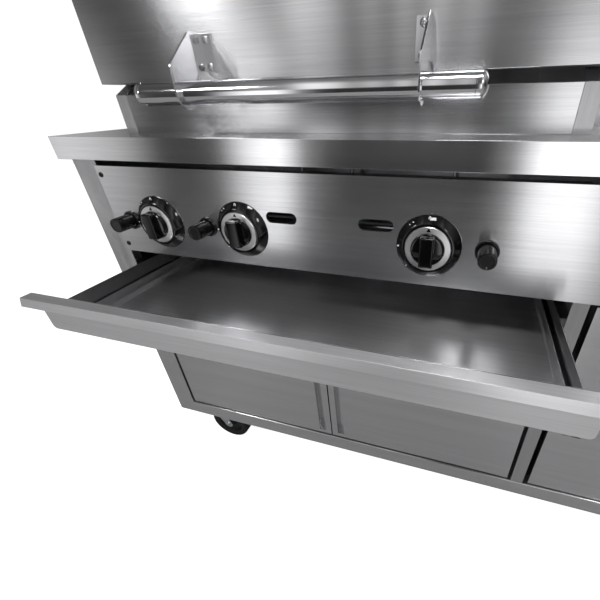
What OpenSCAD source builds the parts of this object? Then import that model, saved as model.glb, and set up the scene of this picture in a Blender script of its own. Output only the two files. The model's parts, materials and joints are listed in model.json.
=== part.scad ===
// Vertical rotisserie broiler on a wheeled cabinet, in millimetres, +Z up.
// Inside this file X runs from the middle of the drawer bay, Y from the front
// face of the cabinet towards its back, and Z from the floor. at_origin() then
// moves every piece so that the origin is under the middle of the whole machine.

/* [Cabinet] */
// Clear width of the bay that holds the drawer and the two doors
bay_w = 882; // [820:1:1080]
// Clear width of the tall bay on the right
tall_bay_w = 360; // [300:1:420]
// Width of the folded front post at each side
post_w = 58; // [50:1:80]
// Width of the strip between the two bays
mullion_w = 25; // [20:1:40]
// Depth of the cabinet, front face to back face
body_d = 700; // [680:1:860]
// Height of the bottom rail
rail_h = 42; // [30:1:60]
// Height of the worktop's upper face above the floor
worktop_z = 908; // [880:1:1000]
// Height of the worktop's folded edge
worktop_edge_h = 40; // [30:1:50]
// How far the worktop stands out past the front and sides
worktop_overhang = 15; // [5:1:30]
// Thickness of the stainless sheet
sheet = 2; // [1.5:0.1:2.5]

/* [Control panel] */
// Height of the control panel
panel_h = 176; // [160:1:185]
// How far the panel laps over each post
panel_lap = 4; // [3:1:10]
// Depth of the folds along the panel's upper and lower edges
panel_fold = 18; // [10:1:25]
// Height of the knob centres above the panel's lower edge
knob_rise = 71; // [60:1:90]
// Height of the slots' centres above the panel's lower edge
slot_rise = 99; // [80:1:110]
// Length of an inspection slot
slot_l = 60; // [40:1:80]
// Height of an inspection slot
slot_h = 20; // [12:1:24]

/* [Knobs and igniters] */
// Outer radius of the fixed bezel behind a knob
bezel_r = 52.5; // [45:0.5:60]
// Radius of the turning disc
knob_r = 36.5; // [30:0.5:40]
// Radius of the grip
grip_r = 27; // [20:0.5:29]
// How far the bezel stands out of the panel
bezel_h = 13; // [10:0.5:18]
// How far the grip stands out of the bezel
grip_h = 18; // [12:0.5:24]
// How far a knob can be pushed in
push_travel = 4; // [2:0.5:5]
// Radius of a valve stem
stem_r = 4; // [3:0.5:6]
// Radius of an igniter button
button_r = 14; // [10:0.5:16]
// How far a button stands out of the panel
button_l = 40; // [30:1:50]
// How far a button can be pushed in
button_travel = 6; // [3:0.5:8]

/* [Drawer] */
// How far the drawer is pulled out in the resting pose
drawer_out = 162.5; // [0:0.5:300]
// Depth of the drawer box
drawer_l = 560; // [400:5:600]
// Height of the drawer's side walls
drawer_h = 62; // [50:1:70]
// Gap between the drawer's walls and the control panel above
drawer_drop = 31; // [20:1:50]
// Height of the drawer's front panel
front_h = 70; // [55:1:85]
// Height of the pull bar's front face
bar_h = 17; // [12:1:24]
// Depth of the pull bar, over its sloped face
bar_d = 26; // [18:1:34]
// Height of the loose drip tray's rim
tray_h = 30; // [20:1:40]
// Radius of the drip tray's upright corners
tray_corner_r = 22; // [10:1:40]

/* [Doors] */
// Thickness of a cabinet door
door_t = 20; // [16:1:28]
// How far the doors sit behind the posts
door_inset = 4; // [2:1:8]
// Width of the pull channels
channel_w = 17; // [12:1:24]
// Depth of the pull channels
channel_d = 14; // [8:1:15]
// Width of the stile beyond a pull channel
stile_w = 15; // [10:1:20]

/* [Cooking chamber] */
// Clear width inside the chamber
chamber_w = 778; // [740:1:900]
// Thickness of the insulated walls
wall_t = 25; // [20:1:40]
// How far the chamber sits to the right of the bay's middle
chamber_x = 2; // [-5:1:5]
// Distance from the cabinet's front face to the chamber's lower front plate
plate_y = 70; // [60:1:90]
// Height of the lower front plate
plate_h = 63; // [45:1:80]
// Height of the chamber above the worktop
chamber_h = 882; // [840:1:1000]
// Distance from the chamber's back to the cabinet's back
chamber_gap = 100; // [70:1:140]
// Radius of the flue collar
flue_r = 75; // [60:1:90]
// Height of the flue collar
flue_h = 60; // [40:1:80]

/* [Broiler door] */
// Thickness of the broiler door
hood_t = 40; // [30:1:42]
// Gap between the door and the chamber
hood_gap = 2; // [1.5:0.5:4]
// How far the door laps past the chamber's sides
hood_lap = 10; // [5:1:16]
// Width of the door's frame beside the window
hood_stile = 110; // [90:1:140]
// Height of the door's frame under the window
hood_rail = 160; // [130:1:200]
// Height of the door's frame over the window
hood_head = 90; // [70:1:120]
// Thickness of the window glass
glass_t = 5; // [4:0.5:6]

/* [Handle] */
// Outer radius of the handle's tube
tube_r = 16; // [12:0.5:20]
// Wall of the handle's tube
tube_wall = 1.5; // [1:0.1:3]
// Distance from the chamber's middle to each bracket
bracket_reach = 184.5; // [150:0.5:220]
// Thickness of a bracket
bracket_t = 3; // [2:0.5:5]
// Distance from the door's face to the tube's axis
tube_stand_off = 62; // [50:1:80]
// Height of the tube's axis above the door's lower edge
tube_drop = 19; // [10:1:30]

/* [Spits and drive] */
// Height between one spit and the next
spit_pitch = 235; // [220:1:250]
// Half the thickness of a spit's square bar
spit_half = 6; // [5:0.5:8]
// Radius of a spit's round ends
journal_r = 8; // [6:0.5:9]
// Outer radius of the sprockets
sprocket_r = 40; // [30:0.5:48]
// Width of the housing over the drive
housing_w = 130; // [110:1:160]
// Running clearance between a shaft and its hole
running_gap = 0.05; // [0.02:0.01:0.1]

/* [Castors] */
// Radius of a wheel
wheel_r = 62.5; // [50:0.5:70]
// Width of a wheel
wheel_w = 32; // [24:1:40]
// Distance from a castor's swivel axis to its axle
castor_trail = 38; // [30:1:50]
// Distance from the cabinet's sides to the castors' axes
castor_inset_x = 74; // [60:1:110]
// Distance from the cabinet's front and back to the castors' axes
castor_inset_y = 66; // [60:1:110]
// Height from the top of a wheel to the cabinet's underside
castor_head_h = 29.5; // [26:0.5:40]

/* [Hidden] */
$fn = 48;
SPITS = [0, 1, 2];

// Cabinet
bay_r = bay_w / 2;
left_x = -bay_r - post_w;
tall_l = bay_r + mullion_w;
tall_r = tall_l + tall_bay_w;
right_x = tall_r + post_w;
underside_z = 2 * wheel_r + castor_head_h;
rail_top = underside_z + rail_h;
edge_z = worktop_z - worktop_edge_h;
panel_top = edge_z - 12;
panel_z = panel_top - panel_h;
knob_z = panel_z + knob_rise;
hem_d = 20;
fold_r = 3;
KNOB_X = [117 - bay_r, 306 - bay_r, bay_r - 229.5];
IGNITER_X = [42 - bay_r, 229 - bay_r, bay_r - 139];
SLOT_X = [KNOB_X[1] + 85, KNOB_X[2] - 88.5];

// Doors
door_gap = 3;
door_z0 = rail_top + 2.5;
pivot_r = 4;
pivot_in = 5;
pivot_y = door_inset + 5;
mullion_gap = 7;
tall_door_gap = 12;
tall_door_top = panel_z - 7;

// Drawer
drawer_top = panel_z - drawer_drop;
drawer_bottom = drawer_top - drawer_h;
drawer_r = bay_r - 11;
bay_door_top = drawer_top - max(front_h, drawer_h) - 6;
front_back_y = -drawer_out - 0.5;
front_left = left_x + 6.5;
front_right = tall_l - 7.5;
bar_left = front_left - 33;
bar_right = front_right + 12;

// Chamber
chamber_l = chamber_x - chamber_w / 2;
chamber_r = chamber_x + chamber_w / 2;
chamber_top = worktop_z + chamber_h;
chamber_back_y = body_d - chamber_gap;
wall_front_y = plate_y + 30;
plate_top = worktop_z + plate_h;

// Broiler door
hood_back_y = wall_front_y - hood_gap;
hood_y = hood_back_y - hood_t;
hood_l = chamber_l - wall_t - hood_lap;
hood_r = chamber_r + wall_t + hood_lap;
hood_z0 = plate_top + 17.6;
hood_z1 = chamber_top - 15;
hinge_y = wall_front_y - 12;
hinge_z = chamber_top;
hinge_r = 10;
hinge_pin_r = 5;
hinge_reach = 290;

// Handle
tube_y = hood_y - tube_stand_off;
tube_z = hood_z0 - tube_drop;
tube_over_left = 94;
tube_over_right = 83;
flange_w = 21;
dome_h = 9;
cap_seam = 0.2;

// Spits and drive
spit_z0 = worktop_z + 202;
motor_z = spit_z0 - 110;
drive_x = chamber_r + wall_t + 45;
housing_l = chamber_r + wall_t;
burner_h = 170;
burner_w = chamber_w - 128;
burner_d = 60;
burner_y = chamber_back_y - wall_t - burner_d;
spit_y = burner_y - 185;

// Gas and cable entries
inlet_r = 13.45;
pipe_r = 12;
pipe_y = 70;
riser_r = 6;
riser_y = chamber_back_y + 40;
RISER_X = [chamber_l + 63, chamber_x - 137, chamber_r - 179.5];
riser_drop = 40;
inlet_x = tall_r - 120;
gland_x = tall_r - 60;
gland_z = rail_top + 120;
gland_r = 10;

// Castors
castor_top = underside_z - 3;
castor_l = left_x + castor_inset_x;
castor_r = right_x - castor_inset_x;
castor_f = castor_inset_y;
castor_b = body_d - castor_inset_y;
axle_r = 5;
kingpin_r = 6;
tread_r = wheel_r - 16.5;

// Small sizes
rail_fold = 25;
barrel_r = button_r + 2.5;
collar_h = 4;
barrel_back_y = 42;
button_back_y = 20;
valve_r = 16;
valve_y = 14;
valve_out_y = 40;
knob_back_y = -sheet - push_travel - 0.5;
knob_front_y = -sheet - bezel_h - 1.5;
stem_front_y = knob_front_y + 3;
stem_back_y = 32;
grip_bar_w = 22;
bush_r = 14;
cheek_rise = 17;
drain_y = spit_y - 30;
drain_r = 20;
flue_y = (wall_front_y + chamber_back_y) / 2;
tiles = 5;
tile_row_w = burner_w - 30;
tile_h = 140;
tile_t = 12;
fork_reach = 200;
fork_hub = 12;
tine_l = 110;
housing_d = 170;
housing_top = chamber_top - 60;
motor_shaft_r = 6;
front_t = 13;
front_corner_r = 8;
pull_x = 25;
pull_w = 33;
pull_z = 376;
pull_l = 124;

// Box of the whole machine
inlet_l = 35;
box_x0 = min(left_x - worktop_overhang, bar_left);
box_x1 = right_x + worktop_overhang;
box_y0 = front_back_y - bar_d;
box_y1 = body_d + inlet_l;

// Helpers
module at_origin() {
    translate([-(box_x0 + box_x1) / 2, -(box_y0 + box_y1) / 2, 0]) children();
}

module block(low, high) {
    translate(low) cube(high - low);
}

// Cylinder along Y from y0 to y1
module rod_y(x, z, r, y0, y1) {
    translate([x, y0, z]) rotate([-90, 0, 0]) cylinder(r = r, h = y1 - y0);
}

// Cylinder along X from x0 to x1
module rod_x(y, z, r, x0, x1) {
    translate([x0, y, z]) rotate([0, 90, 0]) cylinder(r = r, h = x1 - x0);
}

// Outline in Y and Z, given thickness along X from x0 to x1
module plate_x(x0, x1) {
    translate([x0, 0, 0]) rotate([90, 0, 90]) linear_extrude(x1 - x0) children();
}

module slot_y(x, z, l, h, y0, y1) {
    rod_y(x - (l - h) / 2, z, h / 2, y0, y1);
    rod_y(x + (l - h) / 2, z, h / 2, y0, y1);
    block([x - (l - h) / 2, y0, z - h / 2], [x + (l - h) / 2, y1, z + h / 2]);
}

// Cabinet
module side_panel(outer, dir) {
    at_origin() color("silver") {
        inner = outer + dir * sheet;
        far = outer + dir * post_w;
        block([min(outer, inner), 0, underside_z], [max(outer, inner), body_d, edge_z]);
        block([min(outer, inner), 0, edge_z],
              [max(outer, inner), body_d - sheet, worktop_z - sheet]);
        block([min(outer, far), 0, underside_z], [max(outer, far), sheet, worktop_z - sheet]);
        block([min(far, far - dir * sheet), 0, rail_top],
              [max(far, far - dir * sheet), hem_d, edge_z]);
    }
}

module rear_panel() {
    at_origin() color("silver") difference() {
        block([left_x + sheet, body_d - sheet, underside_z + sheet],
              [right_x - sheet, body_d, edge_z]);
        rod_y(inlet_x, knob_z, inlet_r + 2, body_d - 10, body_d + 1);
        rod_y(gland_x, gland_z, gland_r, body_d - 10, body_d + 1);
        for (x = [left_x + 200 : 120 : right_x - 200]) {
            for (z = [rail_top + 60 : 24 : rail_top + 180]) {
                slot_y(x, z, 80, 8, body_d - 10, body_d + 1);
            }
        }
    }
}

module cabinet_floor() {
    at_origin() color("silver") {
        block([left_x + sheet, sheet, underside_z],
              [right_x - sheet, body_d - sheet, underside_z + sheet]);
        block([-bay_r, 0, underside_z], [tall_r, sheet, rail_top - fold_r]);
        block([-bay_r, fold_r, rail_top - sheet], [tall_r, rail_fold, rail_top]);
        rod_x(fold_r, rail_top - fold_r, fold_r, -bay_r, tall_r);
    }
}

module bay_divider() {
    at_origin() color("silver") difference() {
        union() {
            block([bay_r, 0, rail_top], [tall_l, sheet, panel_z]);
            block([bay_r, 0, rail_top], [bay_r + sheet, rail_fold + 1, panel_z]);
            block([bay_r, rail_fold + 1, underside_z + sheet],
                  [bay_r + sheet, body_d - sheet, worktop_z - sheet]);
        }
        rod_x(pipe_y, knob_z, pipe_r + 2, bay_r - 1, tall_l);
    }
}

module control_panel() {
    at_origin() color("silver") difference() {
        union() {
            block([-bay_r - panel_lap, -sheet, panel_z], [tall_r + panel_lap, 0, panel_top]);
            for (z = [panel_z, panel_top - sheet]) {
                block([-bay_r + 1, -sheet, z], [tall_r - 1, panel_fold, z + sheet]);
            }
        }
        for (x = KNOB_X) rod_y(x, knob_z, stem_r + 3, -10, 10);
        for (x = IGNITER_X) rod_y(x, knob_z, barrel_r + 0.2, -10, 10);
        for (x = SLOT_X) slot_y(x, panel_z + slot_rise, slot_l, slot_h, -10, 10);
    }
}

module worktop() {
    at_origin() color("silver") difference() {
        block([left_x - worktop_overhang, -worktop_overhang, edge_z],
              [right_x + worktop_overhang, body_d, worktop_z]);
        block([left_x - worktop_overhang + sheet, sheet - worktop_overhang, edge_z - 1],
              [right_x + worktop_overhang - sheet, body_d - sheet, worktop_z - sheet]);
        translate([chamber_x, drain_y, edge_z]) cylinder(r = drain_r + 3, h = worktop_edge_h + 1);
        for (x = RISER_X) {
            translate([x, riser_y, edge_z]) cylinder(r = riser_r + 4, h = worktop_edge_h + 1);
        }
    }
}

module drawer_runners() {
    z0 = drawer_bottom + 16;
    z1 = drawer_bottom + 46;
    at_origin() color("gray") {
        block([-bay_r, hem_d + 4, z0], [-drawer_r - 1.5, drawer_l, z1]);
        block([drawer_r + 1.5, hem_d + 4, z0], [bay_r, drawer_l, z1]);
        for (y = [60, drawer_l - 60]) {
            block([left_x + sheet, y, z0], [-bay_r, y + 30, z1]);
        }
    }
}

// Gas supply
module gas_pipework() {
    at_origin() color("goldenrod") {
        rod_x(pipe_y, knob_z, pipe_r, KNOB_X[0] - 50, inlet_x);
        translate([inlet_x, pipe_y, knob_z]) sphere(pipe_r);
        rod_y(inlet_x, knob_z, pipe_r, pipe_y, body_d);
        rod_y(inlet_x, knob_z, inlet_r, body_d, body_d + inlet_l);
        for (i = SPITS) {
            x = KNOB_X[i];
            rx = RISER_X[i];
            z0 = knob_z - riser_drop;
            z1 = spit_z0 + i * spit_pitch;
            translate([x, valve_out_y, z0]) cylinder(r = riser_r, h = riser_drop - 22);
            translate([x, valve_out_y, z0]) sphere(riser_r);
            rod_y(x, z0, riser_r, valve_out_y, riser_y);
            translate([x, riser_y, z0]) sphere(riser_r);
            if (abs(rx - x) > riser_r) rod_x(riser_y, z0, riser_r, min(x, rx), max(x, rx));
            translate([rx, riser_y, z0]) cylinder(r = riser_r, h = z1 - z0);
            translate([rx, riser_y, z1]) sphere(riser_r);
            rod_y(rx, z1, riser_r, burner_y + burner_d, riser_y);
        }
    }
}

module gas_valves() {
    at_origin() color("goldenrod") for (x = KNOB_X) {
        difference() {
            union() {
                rod_y(x, knob_z, valve_r, valve_y, pipe_y - 8);
                translate([x, valve_out_y, knob_z - 22]) cylinder(r = riser_r + 2, h = 16);
            }
            rod_y(x, knob_z, stem_r + running_gap, valve_y - 1, stem_back_y + push_travel + 1);
        }
    }
}

module valve_stem(i) {
    at_origin() color("gainsboro") rod_y(KNOB_X[i], knob_z, stem_r, stem_front_y, stem_back_y);
}

module knob_bezels() {
    at_origin() color("black") for (x = KNOB_X) {
        translate([x, -sheet, knob_z]) rotate([90, 0, 0]) rotate_extrude() polygon([
            [knob_r + 1, 0], [bezel_r, 0], [bezel_r, 2], [knob_r + 6, bezel_h - 1],
            [knob_r + 4, bezel_h], [knob_r + 1, bezel_h]
        ]);
    }
}

module knob(i) {
    at_origin() color("black") difference() {
        union() {
            rod_y(KNOB_X[i], knob_z, knob_r, knob_front_y, knob_back_y);
            rod_y(KNOB_X[i], knob_z, grip_r, knob_front_y - grip_h / 2, knob_back_y);
            block([KNOB_X[i] - grip_bar_w / 2, knob_front_y - grip_h, knob_z - grip_r + 2],
                  [KNOB_X[i] + grip_bar_w / 2, knob_back_y, knob_z + grip_r - 2]);
        }
        rod_y(KNOB_X[i], knob_z, stem_r + running_gap, stem_front_y - 1, knob_back_y + 1);
    }
}

module igniter_barrels() {
    at_origin() color("dimgray") for (x = IGNITER_X) {
        difference() {
            union() {
                rod_y(x, knob_z, barrel_r + 2, -sheet - collar_h, -sheet);
                rod_y(x, knob_z, barrel_r, -sheet, barrel_back_y);
            }
            rod_y(x, knob_z, button_r + 0.3, -sheet - collar_h - 1, barrel_back_y - 3);
        }
    }
}

module igniter_button(i) {
    at_origin() color("black") {
        rod_y(IGNITER_X[i], knob_z, button_r, -sheet - button_l, button_back_y);
    }
}

// Cooking chamber
module wall_outline(inset) {
    top = chamber_top - wall_t + inset;
    polygon([
        [plate_y + inset, worktop_z + inset], [chamber_back_y - inset, worktop_z + inset],
        [chamber_back_y - inset, top], [wall_front_y + inset, top],
        [wall_front_y + inset, plate_top + cheek_rise], [plate_y + inset, plate_top - inset / 2]
    ]);
}

// Double-skinned wall, open along its top edge under the roof
module chamber_wall(x) {
    at_origin() color("silver") difference() {
        plate_x(x, x + wall_t) wall_outline(0);
        plate_x(x + sheet, x + wall_t - sheet) wall_outline(sheet);
        for (i = SPITS) {
            rod_x(spit_y, spit_z0 + i * spit_pitch, bush_r, x - 1, x + wall_t + 1);
        }
    }
}

module chamber_back() {
    at_origin() color("silver") difference() {
        block([chamber_l, chamber_back_y - wall_t, worktop_z],
              [chamber_r, chamber_back_y, chamber_top - wall_t]);
        block([chamber_l + sheet, chamber_back_y - wall_t + sheet, worktop_z + sheet],
              [chamber_r - sheet, chamber_back_y - sheet, chamber_top]);
        for (i = SPITS) {
            z = spit_z0 + i * spit_pitch;
            rod_y(RISER_X[i], z, riser_r + 1, chamber_back_y - wall_t - 1, chamber_back_y + 1);
        }
    }
}

module chamber_roof() {
    at_origin() color("silver") difference() {
        block([chamber_l - wall_t, wall_front_y, chamber_top - wall_t],
              [chamber_r + wall_t, chamber_back_y, chamber_top]);
        block([chamber_l - wall_t + sheet, wall_front_y + sheet, chamber_top - wall_t - 1],
              [chamber_r + wall_t - sheet, chamber_back_y - sheet, chamber_top - sheet]);
        translate([chamber_x, flue_y, chamber_top - wall_t - 1]) cylinder(r = flue_r, h = wall_t + 2);
    }
}

module flue_collar() {
    at_origin() color("silver") translate([chamber_x, flue_y, 0]) difference() {
        union() {
            translate([0, 0, chamber_top - wall_t]) cylinder(r = flue_r, h = wall_t + flue_h);
            translate([0, 0, chamber_top]) cylinder(r = flue_r + 20, h = sheet);
        }
        translate([0, 0, chamber_top - wall_t - 1]) {
            cylinder(r = flue_r - sheet, h = wall_t + flue_h + 2);
        }
    }
}

module fat_pan() {
    at_origin() color("silver") difference() {
        union() {
            block([chamber_l, plate_y, worktop_z], [chamber_r, plate_y + sheet, plate_top]);
            block([chamber_l, plate_y, plate_top - sheet], [chamber_r, wall_front_y - 5, plate_top]);
            block([chamber_l, plate_y, worktop_z + 3],
                  [chamber_r, chamber_back_y - wall_t, worktop_z + 3 + sheet]);
            translate([chamber_x, drain_y, edge_z]) cylinder(r = drain_r, h = worktop_edge_h + 4);
        }
        translate([chamber_x, drain_y, edge_z - 1]) {
            cylinder(r = drain_r - sheet, h = worktop_edge_h + 10);
        }
    }
}

module burner_frames() {
    at_origin() color("gray") for (i = SPITS) {
        z = spit_z0 + i * spit_pitch;
        difference() {
            block([chamber_x - burner_w / 2, burner_y, z - burner_h / 2],
                  [chamber_x + burner_w / 2, burner_y + burner_d, z + burner_h / 2]);
            block([chamber_x - tile_row_w / 2 - 1, burner_y - 1, z - tile_h / 2 - 1],
                  [chamber_x + tile_row_w / 2 + 1, burner_y + tile_t + 4, z + tile_h / 2 + 1]);
            block([chamber_x - tile_row_w / 2 + 8, burner_y, z - tile_h / 2 + 8],
                  [chamber_x + tile_row_w / 2 - 8, burner_y + tile_t + 9, z + tile_h / 2 - 8]);
            block([chamber_x - burner_w / 2 + sheet, burner_y + tile_t + 8, z - burner_h / 2 + sheet],
                  [chamber_x + burner_w / 2 - sheet, burner_y + burner_d - sheet,
                   z + burner_h / 2 - sheet]);
        }
    }
}

module burner_tiles() {
    pitch = tile_row_w / tiles;
    at_origin() color("bisque") for (i = SPITS) {
        z = spit_z0 + i * spit_pitch;
        for (k = [0 : tiles - 1]) {
            x = chamber_x - tile_row_w / 2 + k * pitch;
            block([x + 1, burner_y + 4, z - tile_h / 2],
                  [x + pitch - 1, burner_y + 4 + tile_t, z + tile_h / 2]);
        }
    }
}

// Spits and drive
module spit(i) {
    z = spit_z0 + i * spit_pitch;
    at_origin() color("gainsboro") {
        rod_x(spit_y, z, journal_r, chamber_l - wall_t - 12, chamber_l + 14);
        rod_x(spit_y, z, journal_r + 3, chamber_l + 6, chamber_l + 10);
        block([chamber_l + 14, spit_y - spit_half, z - spit_half],
              [chamber_r - 14, spit_y + spit_half, z + spit_half]);
        rod_x(spit_y, z, journal_r + 3, chamber_r - 10, chamber_r - 6);
        rod_x(spit_y, z, journal_r, chamber_r - 14, drive_x + 12);
        rod_x(spit_y, z, journal_r + 8, drive_x - 8, drive_x + 8);
        rod_x(spit_y, z, sprocket_r, drive_x - 3, drive_x + 3);
    }
}

module spit_forks(i) {
    z = spit_z0 + i * spit_pitch;
    at_origin() color("gainsboro") for (side = [-1, 1]) {
        x = chamber_x + side * fork_reach;
        tip = x - side * tine_l;
        difference() {
            block([x - 10, spit_y - fork_hub, z - 28], [x + 10, spit_y + fork_hub, z + 28]);
            block([x - 11, spit_y - spit_half - 0.2, z - spit_half - 0.2],
                  [x + 11, spit_y + spit_half + 0.2, z + spit_half + 0.2]);
        }
        for (dz = [-20, 20]) rod_x(spit_y, z + dz, 2.5, min(x, tip), max(x, tip));
        rod_y(x, z, 3, spit_y - fork_hub - 14, spit_y - spit_half);
        rod_y(x, z, 9, spit_y - fork_hub - 18, spit_y - fork_hub - 12);
    }
}

module spit_bearings() {
    at_origin() color("darkgoldenrod") for (i = SPITS, x = [chamber_l - wall_t, chamber_r]) {
        z = spit_z0 + i * spit_pitch;
        difference() {
            rod_x(spit_y, z, bush_r, x - 5, x + wall_t + 5);
            rod_x(spit_y, z, journal_r + running_gap, x - 6, x + wall_t + 6);
        }
    }
}

module drive_housing() {
    at_origin() color("silver") difference() {
        block([housing_l, spit_y - housing_d / 2, worktop_z],
              [housing_l + housing_w, spit_y + housing_d / 2, housing_top]);
        block([housing_l - 1, spit_y - housing_d / 2 + sheet, worktop_z - 1],
              [housing_l + housing_w - sheet, spit_y + housing_d / 2 - sheet, housing_top - sheet]);
    }
}

module gearmotor() {
    motor_l = drive_x + 16;
    at_origin() color("dimgray") {
        rod_x(spit_y, motor_z, motor_shaft_r, drive_x - 10, motor_l);
        block([motor_l, spit_y - 42, motor_z - 42], [motor_l + 22, spit_y + 42, motor_z + 42]);
        rod_x(spit_y, motor_z, 34, motor_l + 22, housing_l + housing_w - sheet);
    }
}

module motor_sprocket() {
    at_origin() color("gray") difference() {
        union() {
            rod_x(spit_y, motor_z, sprocket_r, drive_x - 3, drive_x + 3);
            rod_x(spit_y, motor_z, motor_shaft_r + 8, drive_x - 8, drive_x + 8);
        }
        rod_x(spit_y, motor_z, motor_shaft_r + running_gap, drive_x - 9, drive_x + 9);
    }
}

module chain_outline(r) {
    z1 = spit_z0 + 2 * spit_pitch;
    translate([spit_y, motor_z]) circle(r);
    translate([spit_y, z1]) circle(r);
    translate([spit_y - r, motor_z]) square([2 * r, z1 - motor_z]);
}

module drive_chain() {
    at_origin() color("dimgray") plate_x(drive_x - 4, drive_x + 4) difference() {
        chain_outline(sprocket_r + 6.5);
        chain_outline(sprocket_r + 0.5);
    }
}

// Broiler door
module hood_hinges() {
    at_origin() color("gray") for (side = [-1, 1]) {
        x = chamber_x + side * hinge_reach;
        block([x - 30, wall_front_y, chamber_top], [x + 30, wall_front_y + 40, chamber_top + 4]);
        for (k = [[-30, -11], [11, 30]]) {
            block([x + k[0], hinge_y, chamber_top], [x + k[1], wall_front_y, chamber_top + 4]);
            rod_x(hinge_y, hinge_z, hinge_r, x + k[0], x + k[1]);
        }
        rod_x(hinge_y, hinge_z, hinge_pin_r, x - 30, x + 30);
    }
}

module broiler_door() {
    wx0 = hood_l + hood_stile;
    wx1 = hood_r - hood_stile;
    wz0 = hood_z0 + hood_rail;
    wz1 = hood_z1 - hood_head;
    s = 1.5;
    seat = 12;
    at_origin() color("silver") {
        difference() {
            block([hood_l, hood_y, hood_z0], [hood_r, hood_back_y, hood_z1]);
            block([hood_l + s, hood_y + s, hood_z0 + s], [hood_r - s, hood_back_y - s, hood_z1 - s]);
            block([hood_l + 14, hood_y + s, hood_z0 + 14],
                  [hood_r - 14, hood_back_y + 1, hood_z1 - 14]);
            block([wx0, hood_y - 1, wz0], [wx1, hood_y + s + 1, wz1]);
        }
        difference() {
            block([wx0 - seat - s, hood_y + s, wz0 - seat - s],
                  [wx1 + seat + s, hood_back_y, wz1 + seat + s]);
            block([wx0 - seat, hood_y, wz0 - seat], [wx1 + seat, hood_back_y + 1, wz1 + seat]);
        }
        for (side = [-1, 1]) {
            x = chamber_x + side * hinge_reach;
            difference() {
                union() {
                    block([x - 10.5, hinge_y - 4, hood_z1], [x + 10.5, hinge_y + 4, hinge_z]);
                    rod_x(hinge_y, hinge_z, hinge_r, x - 10.5, x + 10.5);
                }
                rod_x(hinge_y, hinge_z, hinge_pin_r + running_gap, x - 11, x + 11);
            }
        }
    }
}

module door_glass() {
    lap = 11;
    at_origin() color("lightblue", 0.4) {
        block([hood_l + hood_stile - lap, hood_y + 1.5, hood_z0 + hood_rail - lap],
              [hood_r - hood_stile + lap, hood_y + 1.5 + glass_t, hood_z1 - hood_head + lap]);
    }
}

module handle_tube() {
    x0 = chamber_x - bracket_reach - tube_over_left;
    x1 = chamber_x + bracket_reach + tube_over_right;
    at_origin() color("gainsboro") {
        difference() {
            rod_x(tube_y, tube_z, tube_r, x0 + dome_h, x1 - dome_h);
            rod_x(tube_y, tube_z, tube_r - tube_wall, x0, x1);
        }
        translate([x0 + dome_h, tube_y, tube_z]) rotate([0, 0, 180]) tube_cap();
        translate([x1 - dome_h, tube_y, tube_z]) tube_cap();
    }
}

// Domed end cap with a spigot inside the tube, pointing along +X
module tube_cap() {
    dome_r = (tube_r * tube_r + dome_h * dome_h) / (2 * dome_h);
    rotate([0, 90, 0]) rotate_extrude() intersection() {
        union() {
            translate([0, dome_h - dome_r]) circle(dome_r);
            translate([0, -15]) square([tube_r - tube_wall - cap_seam, 20]);
        }
        union() {
            translate([0, cap_seam]) square([tube_r, dome_h]);
            translate([0, -15]) square([tube_r - tube_wall - cap_seam, 20]);
        }
    }
}

module handle_brackets() {
    at_origin() color("gainsboro") for (side = [-1, 1]) {
        x = chamber_x + side * bracket_reach;
        inner = x - side * flange_w;
        difference() {
            plate_x(x - bracket_t / 2, x + bracket_t / 2) {
                polygon([
                    [hood_y, tube_z + 81], [hood_y - 28, tube_z + 81],
                    [tube_y - 21, tube_z + 36], [tube_y - 23, tube_z + 28],
                    [tube_y - tube_r - 6, tube_z], [tube_y + tube_r + 6, tube_z],
                    [tube_y + 26, tube_z + 18], [hood_y - 22, tube_z + 30],
                    [hood_y, tube_z + 30]
                ]);
                translate([tube_y, tube_z]) circle(tube_r + 6);
            }
            rod_x(tube_y, tube_z, tube_r, x - 5, x + 5);
        }
        block([min(x, inner), hood_y - bracket_t, tube_z + 30],
              [max(x, inner), hood_y, tube_z + 81]);
    }
}

module bracket_screws() {
    at_origin() color("gainsboro") for (side = [-1, 1], dz = [37, 73]) {
        x = chamber_x + side * (bracket_reach - flange_w / 2);
        rod_y(x, tube_z + dz, 5.5, hood_y - bracket_t - 3, hood_y - bracket_t);
    }
}

// Drawer
module front_outline(inset) {
    z0 = drawer_top - front_h + inset;
    r = front_corner_r - inset;
    x0 = front_left + inset;
    x1 = front_right - inset;
    translate([x0, z0 + r]) square([x1 - x0, front_h - inset - bar_h - r]);
    translate([x0 + r, z0]) square([x1 - x0 - 2 * r, r]);
    translate([x0 + r, z0 + r]) circle(r);
    translate([x1 - r, z0 + r]) circle(r);
}

module drawer_front() {
    s = 1.5;
    b = front_back_y;
    t = drawer_top;
    at_origin() color("silver") {
        translate([0, b - front_t + s, 0]) rotate([90, 0, 0]) linear_extrude(s) front_outline(0);
        translate([0, b, 0]) rotate([90, 0, 0]) linear_extrude(front_t - s) difference() {
            front_outline(0);
            front_outline(s);
        }
        difference() {
            plate_x(bar_left, bar_right) polygon([
                [b, t], [b - bar_d + 5, t], [b - bar_d, t - bar_h], [b, t - bar_h]
            ]);
            plate_x(bar_left + s, bar_right - s) polygon([
                [b + 1, t - s], [b - bar_d + 6, t - s], [b - bar_d + 2, t - bar_h + s],
                [b + 1, t - bar_h + s]
            ]);
        }
    }
}

module drawer_box() {
    s = 1.5;
    b = front_back_y;
    at_origin() color("silver") {
        difference() {
            block([-drawer_r, b, drawer_bottom], [drawer_r, b + drawer_l, drawer_top]);
            block([s - drawer_r, b + s, drawer_bottom + s],
                  [drawer_r - s, b + drawer_l - s, drawer_top + 1]);
        }
        for (side = [-1, 1]) {
            x = side * (drawer_r + 0.5);
            block([x - 0.5, b + 60, drawer_bottom + 26], [x + 0.5, b + drawer_l, drawer_bottom + 38]);
        }
    }
}

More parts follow.
